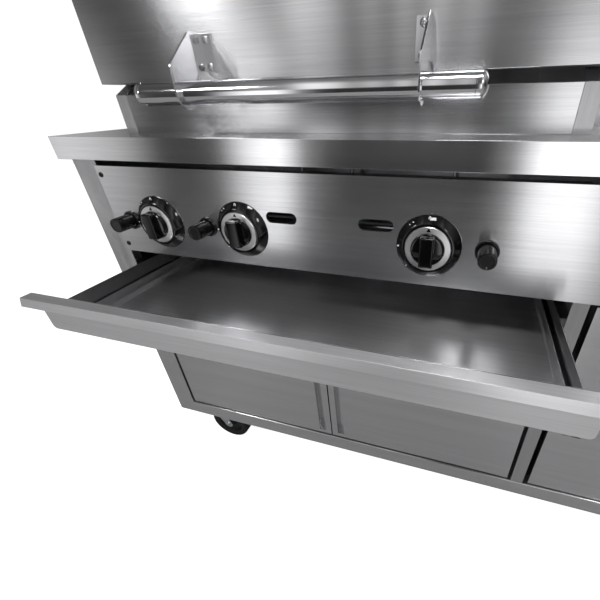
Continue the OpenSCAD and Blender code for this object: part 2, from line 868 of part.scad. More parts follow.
module tray_outline(x, y0, y1, r) {
    hull() for (side = [-1, 1]) {
        for (y = [y0 + r, y1 - r]) {
            translate([side * (x - r), y]) circle(r);
        }
    }
}

module drip_tray() {
    s = 1.5;
    x = drawer_r - 6;
    y0 = front_back_y + 6;
    y1 = front_back_y + drawer_l - 6;
    z = drawer_bottom + s;
    at_origin() color("gainsboro") difference() {
        translate([0, 0, z]) linear_extrude(tray_h) tray_outline(x, y0, y1, tray_corner_r);
        translate([0, 0, z + s]) linear_extrude(tray_h) tray_outline(x - s, y0 + s, y1 - s, tray_corner_r - s);
    }
}

// Cabinet doors. free is 1 where the free edge is on the right, -1 on the left.
module door_pan(x0, x1, z1, free) {
    s = 1.5;
    y0 = door_inset;
    y1 = door_inset + door_t;
    hinge_x = free > 0 ? x0 : x1;
    pivot_x = hinge_x + free * pivot_in;
    difference() {
        union() {
            difference() {
                block([x0, y0, door_z0], [x1, y1, z1]);
                block([x0 + s, y0 + s, door_z0 + s], [x1 - s, y1 + 1, z1 - s]);
            }
            for (z = [door_z0, z1 - 14]) {
                block([min(hinge_x, hinge_x + free * 13), y0, z],
                      [max(hinge_x, hinge_x + free * 13), y0 + 14, z + 14]);
            }
            children();
        }
        for (z = [door_z0 - 1, z1 - 14]) {
            translate([pivot_x, pivot_y, z]) cylinder(r = pivot_r + running_gap, h = 15);
        }
    }
}

// Long pull channel beside the free edge
module channel_box(x0, x1, z1, grow, front) {
    block([x0 - grow, front, door_z0 + 12 - grow],
          [x1 + grow, door_inset + channel_d + grow, z1 - 12 + grow]);
}

module bay_door(x0, x1, free) {
    far = free > 0 ? x1 - stile_w : x0 + stile_w;
    near = far - free * channel_w;
    cx0 = min(near, far);
    cx1 = max(near, far);
    at_origin() color("silver") difference() {
        door_pan(x0, x1, bay_door_top, free) {
            channel_box(cx0, cx1, bay_door_top, 1.5, door_inset);
        }
        channel_box(cx0, cx1, bay_door_top, 0, door_inset - 1);
    }
}

module tall_door() {
    x0 = tall_l + tall_door_gap;
    x1 = tall_r - 4;
    s = 1.5;
    at_origin() color("silver") difference() {
        door_pan(x0, x1, tall_door_top, -1) {
            block([x0 + pull_x - s, door_inset, pull_z - s],
                  [x0 + pull_x + pull_w + s, door_inset + channel_d + s, pull_z + pull_l + s]);
        }
        block([x0 + pull_x, door_inset - 1, pull_z],
              [x0 + pull_x + pull_w, door_inset + channel_d, pull_z + pull_l]);
    }
}

module door_pivots() {
    pins = [
        [door_gap + pivot_in - bay_r, -bay_r, bay_door_top],
        [bay_r - mullion_gap - pivot_in, bay_r, bay_door_top],
        [tall_r - 4 - pivot_in, tall_r, tall_door_top]
    ];
    at_origin() color("gray") for (p = pins) {
        inner = p[0] + sign(p[0] - p[1]) * 12;
        translate([p[0], pivot_y, rail_top]) cylinder(r = pivot_r, h = 11);
        translate([p[0], pivot_y, p[2] - 9]) cylinder(r = pivot_r, h = 12);
        block([min(p[1], inner), door_inset, p[2] + 3], [max(p[1], inner), hem_d - 2, p[2] + 6]);
    }
}

// Castors
module castor_leg(height) {
    translate([0, 1.5, 0]) rotate([90, 0, 0]) linear_extrude(3) {
        polygon([[-26, height], [26, height], [castor_trail + 14, wheel_r], [castor_trail - 14, wheel_r]]);
        translate([castor_trail, wheel_r]) circle(14);
    }
}

// Crown, two legs and axle about the swivel axis, trailing towards +X
module castor_fork_shape(bore) {
    leg_y = wheel_w / 2 + 3.5;
    difference() {
        translate([0, 0, castor_top - 15]) cylinder(r = 30, h = 14);
        if (bore > 0) translate([0, 0, castor_top - 16]) cylinder(r = bore, h = 16);
    }
    for (y = [-leg_y, leg_y]) translate([0, y, 0]) castor_leg(castor_top - 8);
    rod_y(castor_trail, wheel_r, axle_r, -leg_y - 6, leg_y + 6);
}

module castor_plates() {
    at_origin() color("lightgray") {
        for (x = [castor_l, castor_r], y = [castor_f, castor_b]) {
            block([x - 50, y - 42, castor_top], [x + 50, y + 42, underside_z]);
        }
        for (x = [castor_l, castor_r]) {
            translate([x, castor_f, castor_top - 22]) cylinder(r = kingpin_r, h = 22);
            translate([x, castor_f, castor_top - 22]) cylinder(r = kingpin_r + 4, h = 6);
            translate([x, castor_b, castor_top - 2]) cylinder(r = 30, h = 2);
            translate([x, castor_b, 0]) rotate([0, 0, -90]) castor_fork_shape(0);
        }
    }
}

module castor_fork(x, turn) {
    at_origin() color("lightgray") {
        translate([x, castor_f, 0]) rotate([0, 0, turn]) castor_fork_shape(kingpin_r + running_gap);
    }
}

module wheel(x, y, turn) {
    w = wheel_w / 2;
    at_origin() color("black") translate([x, y, 0]) rotate([0, 0, turn]) {
        translate([castor_trail, 0, wheel_r]) rotate([90, 0, 0]) rotate_extrude($fn = 64) polygon([
            [axle_r + running_gap, -w], [18, -w], [20, 2 - w], [tread_r - 2, 2 - w],
            [tread_r, -w], [wheel_r - 4, -w], [wheel_r, 5 - w], [wheel_r, w - 5],
            [wheel_r - 4, w], [tread_r, w], [tread_r - 2, w - 2], [20, w - 2], [18, w],
            [axle_r + running_gap, w]
        ]);
    }
}

side_panel(left_x, 1);  // side_panel_left
side_panel(right_x, -1);  // side_panel_right
rear_panel();
cabinet_floor();
bay_divider();
control_panel();
worktop();
drawer_runners();
gas_pipework();
gas_valves();
igniter_barrels();
knob_bezels();
castor_plates();
chamber_wall(chamber_l - wall_t);  // chamber_wall_left
chamber_wall(chamber_r);  // chamber_wall_right
chamber_back();
chamber_roof();
fat_pan();
burner_frames();
burner_tiles();
drive_housing();
gearmotor();
drive_chain();
spit_bearings();
flue_collar();
door_pivots();
hood_hinges();
broiler_door();
door_glass();
handle_tube();
handle_brackets();
bracket_screws();
drawer_front();
drawer_box();
drip_tray();
bay_door(door_gap - bay_r, -1.5, 1);  // cabinet_door_left
bay_door(1.5, bay_r - mullion_gap, -1);  // cabinet_door_right
tall_door();
valve_stem(0);  // valve_stem_1
valve_stem(1);  // valve_stem_2
valve_stem(2);  // valve_stem_3
knob(0);  // knob_1
knob(1);  // knob_2
knob(2);  // knob_3
igniter_button(0);  // igniter_button_1
igniter_button(1);  // igniter_button_2
igniter_button(2);  // igniter_button_3
spit(0);  // spit_1
spit(1);  // spit_2
spit(2);  // spit_3
spit_forks(0);  // spit_forks_1
spit_forks(1);  // spit_forks_2
spit_forks(2);  // spit_forks_3
motor_sprocket();
castor_fork(castor_l, 0);  // castor_fork_left
castor_fork(castor_r, 180);  // castor_fork_right
wheel(castor_l, castor_f, 0);  // wheel_front_left
wheel(castor_r, castor_f, 180);  // wheel_front_right
wheel(castor_l, castor_b, -90);  // wheel_rear_left
wheel(castor_r, castor_b, -90);  // wheel_rear_right
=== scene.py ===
"""Looks of a vertical rotisserie broiler on a wheeled cabinet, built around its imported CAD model."""
import json
import math

import bpy
from mathutils import Matrix, Vector

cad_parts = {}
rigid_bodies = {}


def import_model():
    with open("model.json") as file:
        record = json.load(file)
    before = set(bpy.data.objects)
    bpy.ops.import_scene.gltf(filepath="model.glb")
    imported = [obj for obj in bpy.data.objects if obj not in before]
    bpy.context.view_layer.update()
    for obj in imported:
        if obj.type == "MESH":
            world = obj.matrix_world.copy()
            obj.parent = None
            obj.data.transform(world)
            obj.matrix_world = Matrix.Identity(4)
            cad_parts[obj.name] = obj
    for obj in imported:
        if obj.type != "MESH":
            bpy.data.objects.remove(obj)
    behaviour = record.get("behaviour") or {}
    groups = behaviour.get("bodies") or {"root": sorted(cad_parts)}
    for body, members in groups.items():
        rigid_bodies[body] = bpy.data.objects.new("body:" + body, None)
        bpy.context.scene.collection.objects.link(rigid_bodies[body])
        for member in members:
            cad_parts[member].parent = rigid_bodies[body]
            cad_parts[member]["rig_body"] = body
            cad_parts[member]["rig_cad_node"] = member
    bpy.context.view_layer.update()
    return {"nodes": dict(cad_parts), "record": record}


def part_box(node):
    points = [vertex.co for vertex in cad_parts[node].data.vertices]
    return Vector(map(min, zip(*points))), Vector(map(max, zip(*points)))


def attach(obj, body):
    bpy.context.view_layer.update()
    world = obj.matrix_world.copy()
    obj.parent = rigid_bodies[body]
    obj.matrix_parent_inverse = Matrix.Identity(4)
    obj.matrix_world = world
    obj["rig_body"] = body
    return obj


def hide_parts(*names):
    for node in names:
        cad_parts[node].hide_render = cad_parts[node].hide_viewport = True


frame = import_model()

bl_info = {
    "name": "Vertical rotisserie broiler",
    "version": (1, 0, 0),
    "blender": (4, 5, 0),
    "location": "3D View > Sidebar > Broiler",
    "description": "Builds the sheet metal, knobs, handle, burners, drive, castors and stage of a broiler",
    "category": "Object",
}

BODY_OF = {node: body for body, nodes in frame["record"]["behaviour"]["bodies"].items() for node in nodes}
MM = 0.001
X, Y, Z = Vector((1, 0, 0)), Vector((0, 1, 0)), Vector((0, 0, 1))
NUMBERS = (1, 2, 3)  # of the knobs, igniters and spits


# ---------------------------------------------------------------- sizes and colours
class BroilerSizes(bpy.types.PropertyGroup):
    """Sizes of the details that stand on the CAD model"""
    edge_round: bpy.props.FloatProperty(name="Fold radius", description="Outer radius of a folded sheet edge",
                                        default=1.1 * MM, unit="LENGTH", subtype="DISTANCE")
    grain_pitch: bpy.props.FloatProperty(name="Brushing pitch",
                                         description="Distance from one brushed line to the next",
                                         default=0.9 * MM, unit="LENGTH", subtype="DISTANCE")
    grip_round: bpy.props.FloatProperty(name="Grip edge radius", description="Rounding of a knob's grip",
                                        default=2.5 * MM, unit="LENGTH", subtype="DISTANCE")
    screw_radius: bpy.props.FloatProperty(name="Panel screw radius", description="Head radius of a panel screw",
                                          default=5.0 * MM, unit="LENGTH", subtype="DISTANCE")
    hole_pitch: bpy.props.FloatProperty(name="Burner port pitch",
                                        description="Distance between ports of a burner tile",
                                        default=4.0 * MM, unit="LENGTH", subtype="DISTANCE")


class BroilerColours(bpy.types.PropertyGroup):
    """Colours of the stage"""
    floor: bpy.props.FloatVectorProperty(name="Floor", description="Colour of the studio floor",
                                         default=(0.90, 0.90, 0.90), size=3, subtype="COLOR")


# ---------------------------------------------------------------- materials
def srgb(code):
    """Linear colour with alpha from an sRGB hex code."""
    parts = [int(code[i:i + 2], 16) / 255 for i in (1, 3, 5)]
    return [p / 12.92 if p <= 0.04045 else ((p + 0.055) / 1.055) ** 2.4 for p in parts] + [1.0]


def add(tree, kind, settings=None, **links):
    """Adds one node; a link's name is the input's name with spaces as underscores, or i0, i1... for its place."""
    node = tree.nodes.new("ShaderNode" + kind)
    for key, value in (settings or {}).items():
        if isinstance(key, int) or key in node.inputs:
            node.inputs[key].default_value = value
        else:
            setattr(node, key, value)
    for key, source in links.items():
        place = int(key[1:]) if key[0] == "i" and key[1:].isdigit() else key.replace("_", " ")
        tree.links.new(source, node.inputs[place])
    return node


def new_material(name):
    material = bpy.data.materials.new(name)
    material.use_nodes = True
    tree = material.node_tree
    tree.nodes.clear()
    return material, tree


def finish_material(tree, shader):
    add(tree, "OutputMaterial", Surface=shader.outputs[0])


def object_coords(tree, scale):
    """Object coordinates in metres, stretched by scale."""
    coords = add(tree, "TexCoord")
    return add(tree, "Mapping", {"Scale": scale}, Vector=coords.outputs["Object"]).outputs[0]


def noise(tree, scale, detail, stretch=(1, 1, 1), **more):
    """Noise over the object coordinates, about 0.3 to 0.7."""
    return add(tree, "TexNoise", {"Scale": scale, "Detail": detail, **more},
               Vector=object_coords(tree, stretch)).outputs["Fac"]


def between(tree, source, low, high, start=0.3, end=0.7):
    """Maps a value that runs from start to end onto low to high."""
    settings = {"From Min": start, "From Max": end, "To Min": low, "To Max": high}
    return add(tree, "MapRange", settings, Value=source).outputs["Result"]


def shade(colour, factor, lift=0.0):
    """The colour without its alpha, darker or lighter by a factor."""
    return [min(1, c * factor + lift) for c in colour[:3]]


def ramp(tree, source, stops):
    node = add(tree, "ValToRGB", Fac=source)
    elements = node.color_ramp.elements
    while len(elements) < len(stops):
        elements.new(0.5)
    for element, (place, value) in zip(elements, stops):
        element.position = place
        element.color = value if len(value) == 4 else (*value, 1.0)
    return node.outputs["Color"]


def grey(value):
    return (value, value, value, 1.0)


def brushed(name, along, code, roughness, pitch, depth=0.03, smear=0.95):
    """Sheet brushed along one axis: fine grooves spread each reflection across the brushing, so
    lamps and walls show as long streaks, with faint cloudy patches from handling."""
    material, tree = new_material(name)
    across = 1.0 / pitch
    line_length, band_width, band_length = 160, 14, 900  # all in brushing pitches
    fine = [across] * 3
    fine["XYZ".index(along)] = across / line_length
    wide = [across / band_width] * 3
    wide["XYZ".index(along)] = across / band_length
    lines = noise(tree, 1.0, 3.0, fine, Roughness=0.62)
    bands = noise(tree, 1.0, 2.0, wide)
    clouds = noise(tree, 3.2, 4.0, Roughness=0.55)
    base = srgb(code)
    tint = add(tree, "Mix", {"data_type": "RGBA", 0: 0.35},
               i6=ramp(tree, lines, [(0.30, shade(base, 0.86)), (0.70, shade(base, 1.08))]),
               i7=ramp(tree, bands, [(0.35, shade(base, 0.90)), (0.65, shade(base, 1.06))]))
    rough = between(tree, clouds, roughness - 0.02, roughness + 0.02)
    rough_lines = add(tree, "Math", {"operation": "MULTIPLY_ADD", 1: 0.02}, i0=lines, i2=rough)
    bump = add(tree, "Bump", {"Strength": depth, "Distance": 0.02 * MM}, Height=lines)
    tangent = add(tree, "Tangent", {"direction_type": "RADIAL", "axis": along})
    shader = add(tree, "BsdfPrincipled", {"Metallic": 1.0, "Anisotropic": smear},
                 Base_Color=tint.outputs[2], Roughness=rough_lines.outputs[0], Normal=bump.outputs[0],
                 Tangent=tangent.outputs[0])
    finish_material(tree, shader)
    return material


def polished(name, code, roughness, scratch=0.0):
    """Bright turned or polished metal: near-mirror, with hair scratches and finger haze in the gloss."""
    material, tree = new_material(name)
    hair = noise(tree, 1.0, 4.0, (40, 900, 900))
    haze = noise(tree, 9.0, 5.0)
    base = srgb(code)
    colour = ramp(tree, haze, [(0.3, shade(base, 0.92)), (0.7, base[:3])])
    rough = between(tree, haze, roughness, roughness + 0.07)
    bump = add(tree, "Bump", {"Strength": 0.05 + scratch, "Distance": 0.01 * MM}, Height=hair)
    shader = add(tree, "BsdfPrincipled", {"Metallic": 1.0}, Base_Color=colour, Roughness=rough,
                 Normal=bump.outputs[0])
    finish_material(tree, shader)
    return material


def moulded(name, code, roughness, grain_mm, depth, coat=0.0):
    """Moulded plastic or rubber: even dark colour, a fine grain in the skin and rubbed lighter patches."""
    material, tree = new_material(name)
    grain = noise(tree, 1.0 / (grain_mm * MM), 3.0)
    rub = noise(tree, 22.0, 4.0)
    base = srgb(code)
    colour = ramp(tree, rub, [(0.35, base[:3]), (0.75, shade(base, 1.5, 0.004))])
    rough = between(tree, rub, roughness, roughness + 0.08, 0.3, 0.75)
    bump = add(tree, "Bump", {"Strength": depth, "Distance": 0.05 * MM}, Height=grain)
    settings = {"IOR": 1.5, "Specular IOR Level": 0.3, "Coat Weight": coat, "Coat Roughness": 0.05}
    shader = add(tree, "BsdfPrincipled", settings, Base_Color=colour, Roughness=rough, Normal=bump.outputs[0])
    finish_material(tree, shader)
    return material


def ceramic_tiles(name, pitch):
    """Pressed cordierite plates: chalky, cream, full of small ports whose inner shade is painted on as dark spots,
    browned in patches by heat.
    """
    material, tree = new_material(name)
    spots = add(tree, "SeparateXYZ", Vector=object_coords(tree, [1 / pitch] * 3))
    face_on = add(tree, "CombineXYZ", X=spots.outputs["X"], Y=spots.outputs["Z"])
    ports = add(tree, "TexVoronoi", {"voronoi_dimensions": "2D", "feature": "F1", "Scale": 1.0, "Randomness": 0.0},
                Vector=face_on.outputs[0]).outputs["Distance"]
    # mask of the ports: where the tile gets painted shade in place of real holes
    hole = ramp(tree, ports, [(0.26, (0, 0, 0)), (0.34, (1, 1, 1))])
    soot = noise(tree, 18.0, 6.0)
    face = ramp(tree, soot, [(0.25, srgb("#8F7763")), (0.5, srgb("#D8C6AE")), (0.8, srgb("#EBDDC8"))])
    # the dark brown in the ports is painted shade of the holes, not a colour of the tile
    colour = add(tree, "Mix", {"data_type": "RGBA", 6: srgb("#2B211B")}, i0=hole, i7=face)
    bump = add(tree, "Bump", {"Strength": 0.3, "Distance": 0.5 * MM}, Height=soot)
    shader = add(tree, "BsdfPrincipled", {"IOR": 1.52, "Roughness": 0.9}, Base_Color=colour.outputs[2],
                 Normal=bump.outputs[0])
    finish_material(tree, shader)
    return material


def tinted_steel(name):
    """Sheet that has been near flame: straw and blue bands over a dull brushed grey."""
    material, tree = new_material(name)
    heat = noise(tree, 7.0, 3.0, (0.4, 1, 1))
    colour = ramp(tree, heat, [(0.30, srgb("#6C6A6C")), (0.48, srgb("#8C7B62")), (0.60, srgb("#6F6478")),
                               (0.75, srgb("#77797C"))])
    lines = noise(tree, 1.0, 3.0, (9, 900, 900))
    bump = add(tree, "Bump", {"Strength": 0.1, "Distance": 0.02 * MM}, Height=lines)
    rough = between(tree, heat, 0.35, 0.55, 0.0, 1.0)
    shader = add(tree, "BsdfPrincipled", {"Metallic": 1.0}, Base_Color=colour, Roughness=rough,
                 Normal=bump.outputs[0])
    finish_material(tree, shader)
    return material


def heat_glass(name):
    """Toughened soda-lime sheet: clear, with a faint film of grease that catches the light."""
    material, tree = new_material(name)
    rough = between(tree, noise(tree, 5.0, 6.0), 0.0, 0.10, 0.4, 0.8)
    shader = add(tree, "BsdfPrincipled", {"Base Color": srgb("#F2F7F6"), "IOR": 1.52, "Transmission Weight": 1.0},
                 Roughness=rough)
    finish_material(tree, shader)
    return material


def enamel(name, code, roughness):
    """Stoved enamel over a cast housing: even colour with a slight orange peel."""
    material, tree = new_material(name)
    peel = noise(tree, 420.0, 2.0)
    dust = noise(tree, 14.0, 5.0)
    base = srgb(code)
    colour = ramp(tree, dust, [(0.3, base[:3]), (0.8, shade(base, 1.25, 0.01))])
    bump = add(tree, "Bump", {"Strength": 0.15, "Distance": 0.1 * MM}, Height=peel)
    shader = add(tree, "BsdfPrincipled", {"IOR": 1.5, "Roughness": roughness, "Coat Weight": 0.4},
                 Base_Color=colour, Normal=bump.outputs[0])
    finish_material(tree, shader)
    return material


MATERIALS = {}


def make_materials():
    pitch = bpy.context.scene.broiler_sizes.grain_pitch
    steel = "#C6C6C8"
    MATERIALS.update({
        # 1.4301 sheet with a 180-grit finish laid along the front
        "stainless_brushed": brushed("stainless_brushed", "X", steel, 0.19, pitch),
        # the same sheet brushed from front to back on the cheeks
        "stainless_side": brushed("stainless_side", "Y", steel, 0.24, pitch),
        # the same sheet brushed upright on doors and linings
        "stainless_upright": brushed("stainless_upright", "Z", "#BDBDBF", 0.22, pitch),
        # finer finish of the worktop
        "stainless_mirror": brushed("stainless_mirror", "X", "#D2D2D4", 0.15, pitch, 0.02, 0.9),
        # drawn sheet of the loose tray, dulled by scouring
        "stainless_scoured": brushed("stainless_scoured", "X", "#D6D6D8", 0.30, pitch, 0.02, 0.9),
        # flatter satin of the hand-finished drawer front: glows evenly instead of streaking
        "stainless_satin": brushed("stainless_satin", "X", "#DEDEE0", 0.42, pitch, 0.05, 0.6),
        # mechanically polished tube and bent brackets
        "stainless_polished": polished("stainless_polished", "#D6D6D8", 0.07, 0.04),
        # turned and drawn bar, satin
        "stainless_rod": polished("stainless_rod", "#C2C2C3", 0.22, 0.2),
        # knob rings, facing-turned
        "stainless_satin_ring": polished("stainless_satin_ring", "#DCDCDD", 0.28, 0.2),
        # bright zinc plate on pressed steel
        "zinc_plate": polished("zinc_plate", "#CDD1D4", 0.2, 0.15),
        "burner_steel": tinted_steel("burner_steel"),
        "ceramic_tile": ceramic_tiles("ceramic_tile", bpy.context.scene.broiler_sizes.hole_pitch),
        "brass": polished("brass", "#C9A45A", 0.24, 0.15),
        "bronze_bush": polished("bronze_bush", "#A9763F", 0.33, 0.2),
        # oiled carbon steel
        "chain_steel": polished("chain_steel", "#5D5C5A", 0.3, 0.2),
        "motor_paint": enamel("motor_paint", "#4A4D50", 0.4),
        # thermoset with a moulded gloss
        "black_gloss": moulded("black_gloss", "#050506", 0.05, 0.6, 0.01, 0.3),
        "black_plastic": moulded("black_plastic", "#0B0B0C", 0.2, 0.7, 0.05, 0.1),
        # printing ink on the bezels
        "white_ink": enamel("white_ink", "#F2F2F2", 0.45),
        "window_glass": heat_glass("window_glass"),
        "wheel_rubber": moulded("wheel_rubber", "#151515", 0.55, 0.9, 0.3),
        "wheel_nylon": moulded("wheel_nylon", "#1C1C1D", 0.4, 1.2, 0.1),
    })


def paint(piece, material):
    piece.data.materials.clear()
    piece.data.materials.append(MATERIALS[material])


# ---------------------------------------------------------------- modelling helpers
def deselect():
    for o in bpy.context.selected_objects:
        o.select_set(False)


def only(piece):
    deselect()
    piece.select_set(True)
    bpy.context.view_layer.objects.active = piece


def settle(piece, name):
    """Puts a finished piece's place into its mesh and names it."""
    only(piece)
    bpy.ops.object.transform_apply(location=True, rotation=True, scale=True)
    piece.name = name
    piece.data.name = name
    return piece


def bevel_edges(piece, width, segments=2, angle=30):
    only(piece)
    bpy.ops.object.modifier_add(type="BEVEL")
    bevel = piece.modifiers[-1]
    bevel.width = width
    bevel.segments = segments
    bevel.limit_method = "ANGLE"
    bevel.angle_limit = math.radians(angle)
    bevel.miter_outer = "MITER_ARC"
    bevel.harden_normals = False
    bpy.ops.object.modifier_apply(modifier=bevel.name)
    return piece


def smooth(piece, angle=32):
    only(piece)
    bpy.ops.object.shade_smooth_by_angle(angle=math.radians(angle))
    return piece


def flatten(piece):
    """Shades the large faces flat and leaves the curve to the rounded edges between them."""
    smooth(piece)
    bpy.ops.object.modifier_add(type="WEIGHTED_NORMAL")
    weighted = piece.modifiers[-1]
    weighted.weight = 100
    weighted.keep_sharp = True
    bpy.ops.object.modifier_apply(modifier=weighted.name)
    return piece


def join(pieces, name):
    deselect()
    for p in pieces:
        p.select_set(True)
    bpy.context.view_layer.objects.active = pieces[0]
    if len(pieces) > 1:
        bpy.ops.object.join()
    return settle(pieces[0], name)


def place(piece, body, material, slot=None, replaces=()):
    paint(piece, material)
    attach(piece, body)
    if replaces:
        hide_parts(*replaces)
    return piece


def folded_copy(node, name, width, segments=2):
    """A copy of a CAD sheet part with its folds rounded."""
    deselect()
    source = frame["nodes"][node]
    piece = source.copy()
    piece.data = source.data.copy()
    piece.parent = None
    piece.matrix_world = Matrix.Identity(4)
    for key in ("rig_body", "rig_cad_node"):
        if key in piece:
            del piece[key]
    bpy.context.scene.collection.objects.link(piece)
    piece.name = name
    only(piece)
    bpy.ops.object.mode_set(mode="EDIT")
    bpy.ops.mesh.select_all(action="SELECT")
    bpy.ops.mesh.remove_doubles(threshold=0.004 * MM)
    bpy.ops.mesh.dissolve_limited(angle_limit=math.radians(1.0))
    bpy.ops.object.mode_set(mode="OBJECT")
    if width:
        bevel_edges(piece, width, segments)
    return flatten(piece)


def lathe(profile, centre, axis, steps=48):
    """Turns a profile of (radius, distance along the axis) points, in millimetres, about an axis."""
    deselect()
    bpy.ops.mesh.primitive_plane_add(size=0.01, location=(0, 0, 0))
    piece = bpy.context.object
    bpy.ops.object.mode_set(mode="EDIT")
    bpy.ops.mesh.select_all(action="SELECT")
    bpy.ops.mesh.merge(type="CENTER")
    points = [Vector((r * MM, 0, h * MM)) for r, h in profile]
    bpy.ops.transform.translate(value=points[0])
    for a, b in zip(points, points[1:]):
        bpy.ops.mesh.extrude_region_move(TRANSFORM_OT_translate={"value": b - a})
    bpy.ops.mesh.select_all(action="SELECT")
    bpy.ops.mesh.spin(steps=steps, angle=2 * math.pi, center=(0, 0, 0), axis=(0, 0, 1))
    bpy.ops.mesh.select_all(action="SELECT")
    bpy.ops.mesh.remove_doubles(threshold=0.003 * MM)
    bpy.ops.mesh.normals_make_consistent(inside=False)
    bpy.ops.object.mode_set(mode="OBJECT")
    piece.data.transform(Vector(axis).to_track_quat("Z", "Y").to_matrix().to_4x4())
    piece.location = centre
    bpy.ops.object.transform_apply(location=True, rotation=True, scale=True)
    return smooth(piece)


def rounded_block(low, high, radius, segments=3):
    """A block between two corners with rounded edges."""
    deselect()
    low, high = Vector(low), Vector(high)
    bpy.ops.mesh.primitive_cube_add(size=1, location=(low + high) / 2)
    piece = bpy.context.object
    piece.scale = high - low
    bpy.ops.object.transform_apply(location=True, rotation=True, scale=True)
    bevel_edges(piece, radius, segments)
    return flatten(piece)


def prism(radius, height, sides, centre, axis, chamfer=0.4 * MM):
    """A hexagon nut or a many-sided button standing along an axis."""
    deselect()
    bpy.ops.mesh.primitive_cylinder_add(vertices=sides, radius=radius, depth=height)
    piece = bpy.context.object
    piece.data.transform(Vector(axis).to_track_quat("Z", "Y").to_matrix().to_4x4())
    piece.location = centre
    bpy.ops.object.transform_apply(location=True, rotation=True, scale=True)
    bevel_edges(piece, chamfer, 2, 40)
    return flatten(piece)


def domed_screw(centre, axis, radius):
    """Round-headed screw with a cross recess sunk into its dome; radius in metres."""
    r = radius / MM
    dome = [(0, 0.62), (0.22, 0.60), (0.5, 0.52), (0.8, 0.32), (1, 0.1), (1, -0.02)]
    head = lathe([(out * r, height * r) for out, height in dome], centre, axis, 24)
    n = Vector(axis).normalized()
    side = n.cross(Z) if abs(n.z) < 0.9 else n.cross(X)
    up = n.cross(side)
    cutters = []
    for a, b in ((side, up), (up, side)):
        long, short, deep = 0.5 * radius, 0.11 * radius, 0.35 * radius
        half = Vector([abs(a[i]) * long + abs(b[i]) * short + abs(n[i]) * deep for i in range(3)])
        spot = Vector(centre) + n * radius * 0.6
        cutters.append(rounded_block(spot - half, spot + half, radius * 0.04, 1))
    for cutter in cutters:
        only(head)
        bpy.ops.object.modifier_add(type="BOOLEAN")
        cut = head.modifiers[-1]
        cut.operation = "DIFFERENCE"
        cut.object = cutter
        bpy.ops.object.modifier_apply(modifier=cut.name)
        bpy.data.objects.remove(cutter)
    return head


def middle(node):
    low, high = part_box(node)
    return (low + high) / 2


# ---------------------------------------------------------------- pieces
class SheetMetal(bpy.types.Operator):
    """Folds the cabinet, chamber, drawer and doors out of sheet with rounded edges"""
    bl_idname = "broiler.sheet_metal"
    bl_label = "Sheet metal"

    def execute(self, context):
        edge = context.scene.broiler_sizes.edge_round
        fine = edge * 0.45
        table = {
            "side_panel_left": ("stainless_side", fine), "side_panel_right": ("stainless_side", fine),
            "rear_panel": ("stainless_brushed", 0.0), "cabinet_floor": ("stainless_brushed", fine),
            "bay_divider": ("stainless_upright", fine), "control_panel": ("stainless_brushed", fine),
            "worktop": ("stainless_mirror", fine), "chamber_wall_left": ("stainless_upright", fine),
            "chamber_wall_right": ("stainless_upright", fine), "chamber_back": ("stainless_brushed", fine),
            "chamber_roof": ("stainless_brushed", fine), "fat_pan": ("stainless_brushed", fine),
            "drive_housing": ("stainless_upright", edge), "broiler_door": ("stainless_brushed", fine),
            "drawer_front": ("stainless_satin", fine), "drawer_box": ("stainless_brushed", fine * 0.6),
            "drip_tray": ("stainless_scoured", fine * 0.6), "cabinet_door_left": ("stainless_brushed", fine),
            "cabinet_door_right": ("stainless_brushed", fine), "tall_door": ("stainless_brushed", fine),
            "drawer_runners": ("zinc_plate", fine), "flue_collar": ("stainless_brushed", 0.0),
        }
        slots = {"stainless_side": "stainless_brushed", "stainless_upright": "stainless_brushed",
                 "stainless_mirror": "stainless_brushed", "stainless_satin": "stainless_brushed",
                 "stainless_scoured": "stainless_bright"}
        for node, (material, width) in table.items():
            piece = folded_copy(node, node + "_sheet", width)
            place(piece, BODY_OF[node], material, slots.get(material, material), (node,))
        return {"FINISHED"}


class Handle(bpy.types.Operator):
    """Turns the polished tube with its domed ends and adds brackets and screws"""
    bl_idname = "broiler.handle"
    bl_label = "Handle"

    def execute(self, context):
        low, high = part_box("handle_tube")
        r = (high.z - low.z) / 2 / MM
        length = (high.x - low.x) / MM
        dome, seam = 9.0, 15.0  # millimetres: bulge of the end caps, and their seam's distance from the end
        end = [(r * math.cos(a), length / 2 - dome + dome * math.sin(a)) for a in
               [math.radians(k) for k in range(0, 91, 10)]]
        half = [(r, length / 2 - seam - 0.5), (r - 0.5, length / 2 - seam), (r, length / 2 - seam + 0.5)] + end
        profile = [(x, -y) for x, y in reversed(half)] + half
        tube = lathe(profile, middle("handle_tube"), X, 64)
        tube.name = "handle_tube_polished"
        place(tube, "hood", "stainless_polished", "stainless_bright", ("handle_tube",))
        brackets = folded_copy("handle_brackets", "handle_brackets_bent", 0.5 * MM, 2)
        place(brackets, "hood", "stainless_polished", "stainless_bright", ("handle_brackets",))
        low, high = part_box("bracket_screws")
        head = 5.5 * MM
        screws = [domed_screw((x, high.y, z), -Y, head)
                  for x in (low.x + head, high.x - head) for z in (low.z + head, high.z - head)]
        place(join(screws, "bracket_screws_domed"), "hood", "stainless_rod", "stainless_bright",
              ("bracket_screws",))
        return {"FINISHED"}


# Millimetres: a dial's flat rim, its drop to the slope, and the edge at the foot of the slope
RIM_WIDTH, RIM_DROP, FOOT_INSET, FOOT_HEIGHT = 5.0, 0.7, 0.8, 2.6
RING_WIDTH, GRIP_RADIUS, GRIP_STAND_OFF, GRIP_HALF_WIDTH = 10, 27.0, 18, 11.0
MARK_HEIGHT, POINTER_RADIUS = 0.25, 4.2
# Angle from the top in degrees, radius in millimetres, and whether the mark is an open ring
DIAL_MARKS = ((0, 4.2, True), (-90, 3.6, False), (-32, 2.6, False), (-40, 2.0, False), (-135, 2.4, False))


